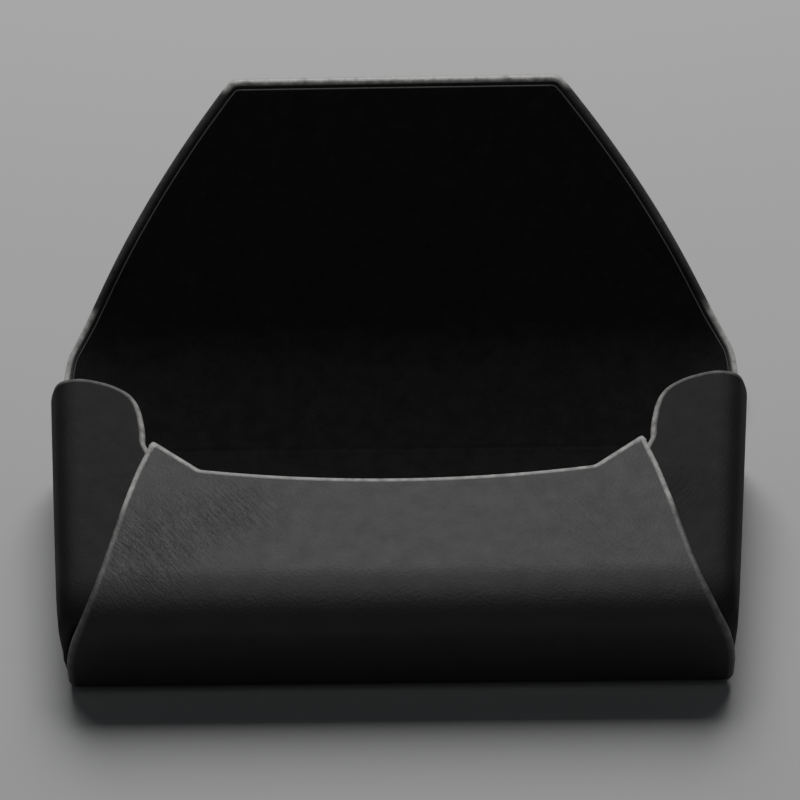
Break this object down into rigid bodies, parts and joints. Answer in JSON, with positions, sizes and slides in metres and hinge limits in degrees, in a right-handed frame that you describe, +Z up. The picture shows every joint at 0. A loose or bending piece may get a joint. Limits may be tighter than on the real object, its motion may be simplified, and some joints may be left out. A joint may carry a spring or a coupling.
{
  "type": "folding envelope case",
  "caption": "Folding black leather envelope case with a suede lining, curled side wings and a two-fold magnetic flap, lying open on its back.",
  "frame": {"origin": "middle of the footprint of the open case, on the surface it lies on", "axes": "+X to the right across the mouth, +Y from the bottom wall towards the flap, +Z up from the back panel it lies on"},
  "size_m": [0.1744, 0.1424, 0.0734],
  "materials": {
    "leather": "satin black hide",
    "lining": "black suede nap",
    "board": "matte",
    "keeper_steel": "satin",
    "magnet_nickel": "polished nickel"
  },
  "bodies": {
    "case": {"back_leather": "leather", "back_board": "board", "back_lining": "lining", "front_leather": "leather", "front_board": "board", "front_lining": "lining", "wing_leather_left": "leather", "wing_board_left": "board", "wing_lining_left": "lining", "wing_leather_right": "leather", "wing_board_right": "board", "wing_lining_right": "lining", "keeper_left": "keeper_steel", "keeper_right": "keeper_steel"},
    "flap_wall": {"wall_leather": "leather", "wall_board": "board", "wall_lining": "lining"},
    "flap": {"flap_leather": "leather", "flap_board": "board", "flap_lining": "lining", "magnet_left": "magnet_nickel", "magnet_right": "magnet_nickel"}
  },
  "joints": [
    {"name": "wall_hinge", "type": "hinge", "parent": "case", "child": "flap_wall", "pos_m": [0, 0.00685, 0.0013], "axis": [1, 0, 0], "range_deg": [-15, 75]},
    {"name": "flap_hinge", "type": "hinge", "parent": "flap_wall", "child": "flap", "pos_m": [0, 0.03776, 0.00958], "axis": [1, 0, 0], "range_deg": [-45, 42]}
  ]
}
